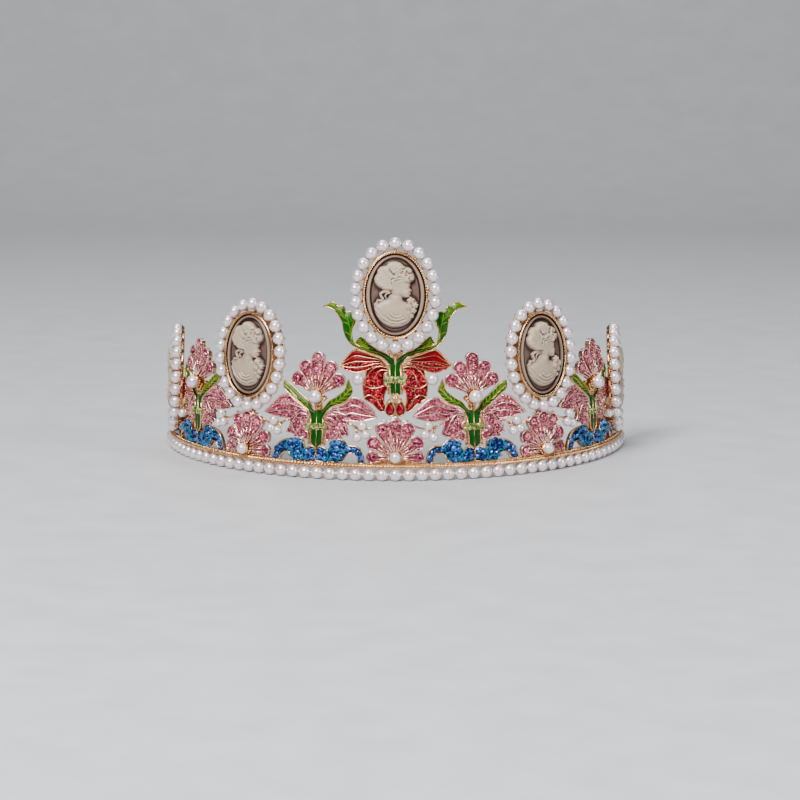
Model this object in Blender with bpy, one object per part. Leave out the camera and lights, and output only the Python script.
"""Bridal tiara crown: an open-back gold band with five cameos, enamel orchids, bows, fan flowers and pearls.

Sizes are millimetres until a point is made. A motif is drawn flat as (across, up) seen from the front, then
laid on the leaning wall of the band at its own angle: 0 degrees is the middle of the front, left is below.
"""

import math

import bpy
from mathutils import Matrix, Vector
from mathutils.geometry import tessellate_polygon

# %% Driving sizes, in millimetres and degrees
MM = 0.001
ROW_RADIUS = 77.5
STEP = 19.5
SIDE_LEAN = 1.0
FRONT_LEAN = 6.5
GAP = 0.3
SIDES = 10

# %% Pearls: their size, the spacing in a row and a ring as shares of it, and a string's sections
PEARL = 4.0
ROW_PITCH = 1.0725
RING_PITCH = 1.061
ROW_SWEEP = 177.6
NECK_SHARE = 0.34
BEAD_SHARE = 0.93
BEAD_AT = 0.45

# %% Rail, over the base pearls, and the posts behind the motifs: out is counted from the row's radius
RAIL_SWEEP = 180.0
RAIL_STEPS = 29
RAIL_HEIGHT = 1.2
RAIL_FRONT = 0.7
BACK = -2.6
POST_FRONT = -1.8
POST_WIDTH = 1.8
RAIL_BOTTOM = PEARL + GAP
RAIL_TOP = RAIL_BOTTOM + RAIL_HEIGHT
SEAT = RAIL_TOP + GAP

# %% Motifs: their size follows the arc of one step, and their plates lie on the wall or behind a cameo's ring
MOTIF = 0.758 * math.radians(STEP) * ROW_RADIUS
THICK = 1.6
PLATE = (-THICK / 2, THICK / 2)
BEHIND_RING = (-3.8, -3.1)
UNDER_RING = (-1.7, -0.8)
PEARL_ON_PLATE = THICK / 2 + GAP + PEARL / 2
VALLEY_SHARE = 0.93

# %% Cameos: the ring's outer half sizes, the cup inside it and the stone inside that
RING_OUTER = (0.745 * MOTIF, 0.935 * MOTIF)
RING_HALF = (RING_OUTER[0] - PEARL / 2, RING_OUTER[1] - PEARL / 2)
CUP_GAP = (0.3, 0.6)
CUP_HALF = (RING_HALF[0] - PEARL / 2 - CUP_GAP[0], RING_HALF[1] - PEARL / 2 - CUP_GAP[1])
CUP_WALL = 0.8
CUP_BACK = -1.9
CUP_FRONT = 1.0
CUP_SIDES = 18
STONE_EDGE = 0.6
STONE_CROWN = 2.3
STONE_SLOPE = 4.0

# %% Blocks between cups and posts: bottom and top as shares of the cup's half height, and the deep end
STANDOFF = (-0.305, -0.057, -5.0)
END_STANDOFF = (-0.922, -0.603, -3.2)
END_POST = (-3.8, -2.3)

# %% Cameos: name, angle in steps, turn beyond it, middle above the seat and inset as motif shares, lean
CAMEOS = (
    ("l2", -4, -6.5, 0.93, 0.035, 3.0),
    ("l1", -2, 0.0, 1.635, 0.115, 5.0),
    ("c", 0, 0.0, 2.695, 0.25, 9.5),
    ("r1", 2, 0.0, 1.635, 0.115, 5.0),
    ("r2", 4, 6.5, 0.93, 0.035, 3.0),
)

# %% Stem units: name, angle in steps
PINK_UNITS = (("l2", -3), ("l1", -1), ("r1", 1), ("r2", 3))

# %% Fan flowers: petal angle, then the tip's distance from the root and radius as shares of the motif size
BASE_FAN = (
    (0.0, 0.5, 0.11),
    (24.5, 0.48, 0.12),
    (57.5, 0.4, 0.12),
    (91.0, 0.37, 0.1),
)
TOP_FAN = (
    (0.0, 0.595, 0.105),
    (25.0, 0.49, 0.118),
    (54.0, 0.42, 0.12),
)

# %% Flower roots and feet: (across, up) as in the outlines below
BASE_ROOT = 0.105
BASE_FOOT = ((0.15, 0.01), (0, 0))
END_FOOT = ((0.15, 0.01), (0.065, 0), (0.065, 0.55))
TOP_ROOT = 1.07
TOP_FOOT = ((0.21, 1.055), (0.11, 0.955), (0, 0.89))

# %% Outlines: each row is (across, up) as shares of the motif size, across from the stem and up from the seat
FAR_WING = (
    (0.15, 0.37), (0.155, 0.47), (0.24, 0.485), (0.24, 0.635), (0.17, 0.655), (0.145, 0.75),
    (0.195, 0.815), (0.28, 0.885), (0.43, 0.94), (0.535, 1.015), (0.61, 1.055), (0.73, 1.02),
    (0.85, 0.925), (0.95, 0.83), (1, 0.745), (0.86, 0.7), (0.7, 0.67), (0.56, 0.685), (0.495, 0.64),
    (0.52, 0.535), (0.545, 0.44), (0.425, 0.415), (0.3, 0.385), (0.22, 0.34),
)
NEAR_WING = (
    (0.14, 0.37), (0.145, 0.47), (0.24, 0.485), (0.24, 0.635), (0.17, 0.655), (0.145, 0.775),
    (0.21, 0.845), (0.36, 0.945), (0.48, 1.03), (0.56, 1.05), (0.67, 1.01), (0.78, 0.925), (0.87, 0.82),
    (0.97, 0.74), (0.85, 0.71), (0.7, 0.685), (0.545, 0.675), (0.47, 0.63), (0.495, 0.52),
    (0.545, 0.45), (0.4, 0.42), (0.28, 0.39), (0.2, 0.35),
)
LEAF_STEM_FOOT = ((0, 0.205), (0.1, 0.29), (0.105, 0.5))
STEM_BAND = ((0.205, 0.515), (0.215, 0.57), (0.2, 0.615))
STEM_TOP = ((0.11, 0.635), (0.11, 0.725))
FAR_LEAF = (
    (0.165, 0.825), (0.26, 0.905), (0.415, 0.96), (0.525, 1.05), (0.58, 1.15), (0.56, 1.22),
    (0.53, 1.28), (0.505, 1.36), (0.48, 1.26), (0.455, 1.17), (0.305, 1.045), (0.185, 0.97),
    (0.1, 0.855),
)
NEAR_LEAF = (
    (0.125, 0.795), (0.215, 0.87), (0.36, 0.97), (0.48, 1.06), (0.585, 1.13), (0.6, 1.28), (0.53, 1.27),
    (0.465, 1.215), (0.35, 1.12), (0.245, 1.04), (0.15, 0.97), (0.08, 0.855),
)
STEM_CROWN = ((0, 0.83),)
FAR_BOW = (
    (0.08, 0.25), (0.17, 0.21), (0.21, 0.19), (0.245, 0.29), (0.29, 0.36), (0.37, 0.38), (0.46, 0.36),
    (0.54, 0.28), (0.65, 0.275), (0.75, 0.225), (0.795, 0.13), (0.815, 0), (0.705, 0), (0.69, 0.1),
    (0.63, 0.15), (0.53, 0.14), (0.47, 0.04), (0.38, 0),
)
NEAR_BOW = (
    (0.07, 0.25), (0.16, 0.21), (0.2, 0.19), (0.21, 0.29), (0.26, 0.36), (0.35, 0.355), (0.45, 0.35),
    (0.58, 0.315), (0.67, 0.26), (0.73, 0.18), (0.77, 0.09), (0.795, 0), (0.66, 0), (0.59, 0.1),
    (0.5, 0.13), (0.42, 0.06), (0.33, 0),
)
BOW_NOTCH = (0, 0.175)
BOW_FOOT = (0, 0)
RED_STEM = (
    (0, 0.98), (0.065, 0.99), (0.085, 1.13), (0.09, 1.28), (0.18, 1.29), (0.195, 1.35), (0.18, 1.41),
    (0.095, 1.425), (0.085, 1.58), (0.145, 1.655), (0.23, 1.725), (0.4, 1.775), (0.62, 1.85),
    (0.75, 1.955), (0.825, 2.09), (0.855, 2.26), (0.93, 2.39), (1.03, 2.475), (1.17, 2.505),
    (1.07, 2.56), (0.93, 2.52), (0.85, 2.52), (0.815, 2.44), (0.74, 2.445), (0.675, 2.37), (0.71, 2.23),
    (0.72, 2.09), (0.685, 1.98), (0.615, 1.91), (0.6, 1.99), (0.56, 2.04), (0.49, 1.99), (0.38, 1.89),
    (0.24, 1.82), (0.11, 1.745), (0.045, 1.67), (0, 1.67),
)
RED_WING = (
    (0.135, 0.93), (0.195, 0.98), (0.215, 1.07), (0.175, 1.155), (0.115, 1.22), (0.115, 1.26),
    (0.215, 1.27), (0.215, 1.44), (0.115, 1.455), (0.11, 1.55), (0.165, 1.63), (0.25, 1.705),
    (0.41, 1.755), (0.63, 1.825), (0.75, 1.74), (0.85, 1.625), (0.91, 1.575), (0.83, 1.515),
    (0.7, 1.46), (0.59, 1.455), (0.48, 1.49), (0.485, 1.38), (0.52, 1.28), (0.515, 1.14), (0.49, 1.025),
    (0.37, 0.96), (0.25, 0.84), (0.17, 0.84),
)
RED_DROPS = (
    (0, 0.955), (0.06, 0.965), (0.115, 0.925), (0.15, 0.855), (0.1, 0.785), (0.04, 0.77), (0, 0.8),
)

# %% The single pearls beside the middle stem: (across, up) as above, and how far out
SIDE_PEARL_AT = (0.595, 1.35)
SIDE_PEARL_OUT = 0.6

# %% Colours: slot, red, green, blue, metallic, roughness
SLOTS = {
    "gold": ((0.83, 0.55, 0.33), 1.0, 0.25),
    "pearl": ((0.85, 0.78, 0.78), 0.0, 0.2),
    "pink_stones": ((0.62, 0.22, 0.30), 0.0, 0.15),
    "red_enamel": ((0.50, 0.01, 0.02), 0.0, 0.15),
    "green_enamel": ((0.04, 0.24, 0.02), 0.0, 0.2),
    "blue_stones": ((0.04, 0.14, 0.42), 0.0, 0.15),
    "cameo": ((0.55, 0.44, 0.35), 0.0, 0.45),
}


def clear_scene():
    for obj in list(bpy.data.objects):
        bpy.data.objects.remove(obj, do_unlink=True)


def make_materials():
    made = {}
    for slot, (colour, metallic, roughness) in SLOTS.items():
        material = bpy.data.materials.new(slot)
        material.use_nodes = True
        shader = material.node_tree.nodes["Principled BSDF"]
        shader.inputs["Base Color"].default_value = (*colour, 1.0)
        shader.inputs["Metallic"].default_value = metallic
        shader.inputs["Roughness"].default_value = roughness
        made[slot] = material
    return made


def link(obj, slot, helper=False):
    """Puts an object in its collection under the root, as a part or as a piece that a Boolean uses."""
    (HELPERS if helper else CROWN).objects.link(obj)
    obj.data.materials.append(MATERIALS[slot])
    obj.parent = ROOT
    if helper:
        obj.hide_render = True
        obj.display_type = "WIRE"
    return obj


def on_wall(angle, across, up, out):
    """The point of the wall at this angle: across along the arc, up the slope and out from it, in metres."""
    lean = math.radians(SIDE_LEAN + (FRONT_LEAN - SIDE_LEAN) * math.cos(math.radians(angle)) ** 2)
    level = ROW_RADIUS - up * math.sin(lean)
    turn = math.radians(angle) + across / level
    reach = level + out * math.cos(lean)
    height = up * math.cos(lean) + out * math.sin(lean)
    return Vector((reach * math.sin(turn), -reach * math.cos(turn), height)) * MM


def oval_frame(angle, facing, height, radius, lean):
    """The matrix of a flat oval at this angle, turned to face another: X runs sideways, Y up and Z out."""
    at, turn, tilt = math.radians(angle), math.radians(facing), math.radians(lean)
    side = Vector((math.cos(turn), math.sin(turn), 0.0))
    level = Vector((math.sin(turn), -math.cos(turn), 0.0))
    up = Vector((0.0, 0.0, 1.0)) * math.cos(tilt) - level * math.sin(tilt)
    out = side.cross(up)
    place = Vector((radius * math.sin(at), -radius * math.cos(at), height)) * MM
    frame = Matrix((side, up, out)).transposed().to_4x4()
    frame.translation = place
    return frame


def body(name, points, faces, slot, helper=False):
    mesh = bpy.data.meshes.new(name)
    mesh.from_pydata([tuple(point) for point in points], [], faces)
    mesh.validate()
    return link(bpy.data.objects.new(name, mesh), slot, helper)


def turned_way(outline):
    """The outline in the order that runs anticlockwise seen from the front."""
    pairs = zip(outline, outline[1:] + outline[:1])
    area = sum(a[0] * b[1] - b[0] * a[1] for a, b in pairs)
    return outline if area > 0 else outline[::-1]


def halves(outline):
    """The outline's indices as one loop, or as two where it has two points on its middle line."""
    count = len(outline)
    middle = [i for i in range(count) if outline[i][0] == 0.0]
    if len(middle) != 2:
        return [list(range(count))]
    first, second = middle
    return [list(range(first, second + 1)), list(range(second, count)) + list(range(first + 1))]


def sheet(name, outline, angle, slot, depth=PLATE, helper=False):
    """A plate of this outline, bent to the wall: triangles in front and behind, and a wall all round."""
    outline = turned_way(list(outline))
    count = len(outline)
    front = [on_wall(angle, across, up, depth[1]) for across, up in outline]
    back = [on_wall(angle, across, up, depth[0]) for across, up in outline]
    flat = [Vector((across, up, 0.0)) for across, up in outline]
    faces = []
    for loop in halves(outline):
        for corners in tessellate_polygon([[flat[i] for i in loop]]):
            a, b, c = (loop[i] for i in corners)
            if (flat[b] - flat[a]).cross(flat[c] - flat[a]).z < 0:
                b, c = c, b
            faces.append((a, b, c))
            faces.append((a + count, c + count, b + count))
    for i in range(count):
        j = (i + 1) % count
        faces.append((i, i + count, j + count, j))
    return body(name, front + back, faces, slot, helper)


def height_of(share):
    """The height on the wall of a share of the motif size above the seat."""
    return SEAT + share * MOTIF


def placed(table, side=1):
    """A table's points in millimetres on the wall, mirrored where the side is below zero."""
    return [(side * across * MOTIF, height_of(up)) for across, up in table]


def both_sides(half):
    """A whole outline from its right half, which starts and ends on the middle line."""
    return list(half) + [(-across, up) for across, up in reversed(half) if across > 0]


def fan_outline(petals, root, foot):
    """Round petal tips about a root, the middle petal first, closed below by the foot's points."""
    half = []
    for number, (lean, reach, tip) in enumerate(petals):
        way = math.radians(lean)
        middle = (reach * math.sin(way), root + reach * math.cos(way))
        arc = (-72.0, -24.0, 24.0, 72.0) if number else (0.0, 38.0, 75.0)
        for turn in arc:
            way = math.radians(lean + turn)
            half.append((middle[0] + tip * math.sin(way), middle[1] + tip * math.cos(way)))
        if number + 1 < len(petals):
            following = petals[number + 1]
            way = math.radians((lean + following[0]) / 2)
            far = VALLEY_SHARE * min(reach, following[1])
            half.append((far * math.sin(way), root + far * math.cos(way)))
    return placed(both_sides(half + list(foot)))


def pearl_string(name, middles, ways, radius, closed, matrix=None):
    """Pearls in a row as one body: a thin wire between them and two wide sections in each."""
    curve = bpy.data.curves.new(name, "CURVE")
    curve.dimensions = "3D"
    curve.twist_mode = "Z_UP"
    curve.bevel_depth = radius * MM
    curve.bevel_resolution = SIDES // 2 - 2
    curve.use_fill_caps = True
    half = radius * BEAD_AT
    rows = []
    for i, (middle, way) in enumerate(zip(middles, ways)):
        rows.append((middle - way * half, BEAD_SHARE))
        rows.append((middle + way * half, BEAD_SHARE))
        if closed or i + 1 < len(middles):
            rows.append(((middle + middles[(i + 1) % len(middles)]) / 2, NECK_SHARE))
    if not closed:
        rows.insert(0, (middles[0] - ways[0] * radius, NECK_SHARE))
        rows.append((middles[-1] + ways[-1] * radius, NECK_SHARE))
    spline = curve.splines.new("POLY")
    spline.points.add(len(rows) - 1)
    for point, (place, share) in zip(spline.points, rows):
        point.co = (*(place * MM), 1.0)
        point.radius = share
    spline.use_cyclic_u = closed
    string = link(bpy.data.objects.new(name, curve), "pearl")
    if matrix is not None:
        string.matrix_local = matrix
    return string


def even_oval(half_width, half_height, pitch):
    """Points about one pitch apart round an oval, from its bottom, with the way along at each."""
    steps = 1440
    ring = []
    for i in range(steps + 1):
        turn = 2 * math.pi * i / steps - math.pi / 2
        ring.append(Vector((half_width * math.cos(turn), half_height * math.sin(turn), 0.0)))
    lengths = [0.0]
    for a, b in zip(ring, ring[1:]):
        lengths.append(lengths[-1] + (b - a).length)
    count = round(lengths[-1] / pitch)
    points = []
    ways = []
    at = 0
    for i in range(count):
        while lengths[at + 1] < lengths[-1] * i / count:
            at += 1
        points.append(ring[at])
        ways.append((ring[at + 1] - ring[at - 1 if at else steps - 1]).normalized())
    return points, ways


def oval_solid(name, half, profile, slot, matrix, helper=False):
    """A solid turned on an oval: a profile row is (inset from the oval, out), from the back to the front."""
    points = []
    for inset, out in profile:
        for i in range(CUP_SIDES):
            turn = 2 * math.pi * i / CUP_SIDES
            across = (half[0] - inset) * math.cos(turn)
            up = (half[1] - inset) * math.sin(turn)
            points.append(matrix @ (Vector((across, up, out)) * MM))
    faces = [tuple(reversed(range(CUP_SIDES)))]
    for row in range(len(profile) - 1):
        for i in range(CUP_SIDES):
            j = (i + 1) % CUP_SIDES
            low, high = row * CUP_SIDES, (row + 1) * CUP_SIDES
            faces.append((low + i, low + j, high + j, high + i))
    top = (len(profile) - 1) * CUP_SIDES
    faces.append(tuple(range(top, top + CUP_SIDES)))
    return body(name, points, faces, slot, helper)


def bead(name, middle, radius, slot="pearl", helper=False, rings=(-32.0, 32.0)):
    """A round bead of ten sides, its axis upright."""
    points = [middle + Vector((0.0, 0.0, -radius)) * MM]
    for level in rings:
        for i in range(SIDES):
            turn = 2 * math.pi * (i + 0.5) / SIDES
            wide = radius * math.cos(math.radians(level))
            high = radius * math.sin(math.radians(level))
            points.append(middle + Vector((wide * math.cos(turn), wide * math.sin(turn), high)) * MM)
    points.append(middle + Vector((0.0, 0.0, radius)) * MM)
    last = len(points) - 1
    faces = []
    for i in range(SIDES):
        j = (i + 1) % SIDES
        faces.append((0, 1 + j, 1 + i))
        faces.append((last, last - SIDES + i, last - SIDES + j))
        for row in range(len(rings) - 1):
            low, high = 1 + row * SIDES, 1 + (row + 1) * SIDES
            faces.append((low + i, low + j, high + j, high + i))
    return body(name, points, faces, slot, helper)


def fuse(obj, pieces):
    """Joins the helper pieces to this body, one exact union after another."""
    for piece in pieces:
        union = obj.modifiers.new("with " + piece.name, "BOOLEAN")
        union.operation = "UNION"
        union.solver = "EXACT"
        union.object = piece


def make_rail():
    """The rail as a band of plates along the arc, thick enough for the posts to sink into."""
    corners = ((BACK, RAIL_BOTTOM), (RAIL_FRONT, RAIL_BOTTOM), (RAIL_FRONT, RAIL_TOP), (BACK, RAIL_TOP))
    points = []
    faces = [(0, 1, 2, 3)]
    for i in range(RAIL_STEPS + 1):
        angle = math.radians(RAIL_SWEEP * (i / RAIL_STEPS - 0.5))
        for out, height in corners:
            reach = ROW_RADIUS + out
            points.append(Vector((reach * math.sin(angle), -reach * math.cos(angle), height)) * MM)
    for i in range(RAIL_STEPS):
        for k in range(4):
            m = (k + 1) % 4
            low, high = 4 * i, 4 * (i + 1)
            faces.append((low + k, high + k, high + m, low + m))
    end = 4 * RAIL_STEPS
    faces.append((end + 3, end + 2, end + 1, end))
    return body("gold_frame", points, faces, "gold")


def make_post(name, angle, top, depth=(BACK, POST_FRONT)):
    half = POST_WIDTH / 2
    low = RAIL_BOTTOM + RAIL_HEIGHT / 3
    outline = ((-half, low), (half, low), (half, top), (-half, top))
    return sheet(name, outline, angle, "gold", depth, helper=True)


def make_standoff(name, matrix, block):
    """The block that carries an oval cup on its post, from the deep end into the cup's floor."""
    half = POST_WIDTH / 2
    low, high = block[0] * CUP_HALF[1], block[1] * CUP_HALF[1]
    points = []
    for out in (block[2], CUP_BACK + CUP_WALL / 2):
        for across, up in ((-half, low), (half, low), (half, high), (-half, high)):
            points.append(matrix @ (Vector((across, up, out)) * MM))
    faces = [(3, 2, 1, 0), (4, 5, 6, 7), (0, 1, 5, 4), (1, 2, 6, 5), (2, 3, 7, 6), (3, 0, 4, 7)]
    return body(name, points, faces, "gold", helper=True)


def make_cameo(name, step, turn, middle, inset, lean):
    """A cup for the frame, its domed cameo and the pearls round it. Returns the frame's pieces."""
    angle = step * STEP
    height = height_of(middle)
    matrix = oval_frame(angle, angle + turn, height, ROW_RADIUS - inset * MOTIF, lean)
    floor = CUP_BACK + CUP_WALL
    cup = ((0.0, CUP_BACK), (0.0, CUP_FRONT), (CUP_WALL, CUP_FRONT), (CUP_WALL, floor))
    setting = oval_solid("cup_" + name, CUP_HALF, cup, "gold", matrix, helper=True)
    edge = CUP_WALL + GAP
    dome = ((edge, floor + GAP), (edge, STONE_EDGE), (edge + STONE_SLOPE, STONE_CROWN))
    oval_solid("cameo_stone_" + name, CUP_HALF, dome, "cameo", matrix)
    points, ways = even_oval(*RING_HALF, PEARL * RING_PITCH)
    pearl_string("cameo_pearl_ring_" + name, points, ways, PEARL / 2, True, matrix)
    block, depth = (END_STANDOFF, END_POST) if turn else (STANDOFF, (BACK, POST_FRONT))
    post = make_post("post_cameo_" + name, angle, height + block[1] * CUP_HALF[1], depth)
    return [setting, make_standoff("standoff_" + name, matrix, block), post]


def make_base_flower(name, step, turn):
    """The fan at the foot of a cameo with its root pearl, or behind the ring with none at the ends."""
    angle = step * STEP
    outline = fan_outline(BASE_FAN, BASE_ROOT, END_FOOT if turn else BASE_FOOT)
    sheet("base_flower_" + name, outline, angle, "pink_stones", BEHIND_RING if turn else PLATE)
    if not turn:
        root = on_wall(angle, 0.0, height_of(BASE_ROOT), PEARL_ON_PLATE)
        bead("base_flower_pearl_" + name, root, PEARL / 2)


def make_pink_unit(name, step):
    """A stem with leaves and a stone band, a wing on each side, the bow at its foot and the flower on top.

    The near side faces the nearest of the two tall cameos beside the front, and has shorter forms.
    """
    angle = step * STEP
    side = math.copysign(1, step) * (1 if abs(step) == 1 else -1)
    foot = LEAF_STEM_FOOT[1:] + STEM_BAND + STEM_TOP
    near = placed(foot + NEAR_LEAF, side)
    far = placed(foot + FAR_LEAF, -side)
    middle = placed(LEAF_STEM_FOOT[:1])
    outline = middle + near + placed(STEM_CROWN) + far[::-1]
    sheet("stem_leaves_" + name, outline, angle, "green_enamel")
    for table, way in ((NEAR_WING, side), (FAR_WING, -side)):
        word = "right" if way > 0 else "left"
        depth = UNDER_RING if way * step > 2 else PLATE
        sheet(f"orchid_wing_{name}_{word}", placed(table, way), angle, "pink_stones", depth)
    loops = placed([BOW_NOTCH]) + placed(NEAR_BOW, side) + placed([BOW_FOOT]) + placed(FAR_BOW, -side)[::-1]
    sheet("bow_" + name, loops, angle, "blue_stones")
    sheet("top_flower_" + name, fan_outline(TOP_FAN, TOP_ROOT, TOP_FOOT), angle, "pink_stones")
    root = height_of(TOP_ROOT)
    bead("top_flower_pearl_" + name, on_wall(angle, 0.0, root, PEARL_ON_PLATE), PEARL / 2)
    return make_post("post_stem_" + name, angle, root)


def make_red_unit():
    sheet("stem_leaves_c", placed(both_sides(RED_STEM)), 0.0, "green_enamel")
    sheet("orchid_drops_c", placed(both_sides(RED_DROPS)), 0.0, "red_enamel")
    for side, word in ((-1, "left"), (1, "right")):
        sheet("orchid_wing_c_" + word, placed(RED_WING, side), 0.0, "red_enamel")
        across, up = placed([SIDE_PEARL_AT], side)[0]
        bead("side_pearl_" + word, on_wall(0.0, across, up, SIDE_PEARL_OUT), PEARL / 2)


def make_pearl_row():
    points = []
    ways = []
    pairs = round(math.radians(ROW_SWEEP) * ROW_RADIUS / (2 * PEARL * ROW_PITCH))
    for i in range(-pairs, pairs + 1):
        angle = math.radians(ROW_SWEEP * i / (2 * pairs))
        points.append(Vector((ROW_RADIUS * math.sin(angle), -ROW_RADIUS * math.cos(angle), PEARL / 2)))
        ways.append(Vector((math.cos(angle), math.sin(angle), 0.0)))
    pearl_string("base_pearl_row", points, ways, PEARL / 2, False)


def stand_on_origin():
    """Moves the crown so that the middle of its outer box, at the bottom, is the origin."""
    bpy.context.view_layer.update()
    graph = bpy.context.evaluated_depsgraph_get()
    points = []
    for obj in CROWN.objects:
        if obj.type == "EMPTY":
            continue
        evaluated = obj.evaluated_get(graph)
        mesh = evaluated.to_mesh()
        points.extend(evaluated.matrix_world @ vertex.co for vertex in mesh.vertices)
        evaluated.to_mesh_clear()
    low = [min(point[k] for point in points) for k in range(3)]
    high = [max(point[k] for point in points) for k in range(3)]
    ROOT.location = (-(low[0] + high[0]) / 2, -(low[1] + high[1]) / 2, -low[2])


clear_scene()
MATERIALS = make_materials()
CROWN = bpy.data.collections.new("bridal_tiara")
HELPERS = bpy.data.collections.new("union_pieces")
for group in (CROWN, HELPERS):
    bpy.context.scene.collection.children.link(group)
ROOT = bpy.data.objects.new("root", None)
CROWN.objects.link(ROOT)

frame = make_rail()
frame_pieces = []
for row in CAMEOS:
    frame_pieces += make_cameo(*row)
    make_base_flower(*row[:3])
for row in PINK_UNITS:
    frame_pieces.append(make_pink_unit(*row))
make_red_unit()
fuse(frame, frame_pieces)
make_pearl_row()
stand_on_origin()
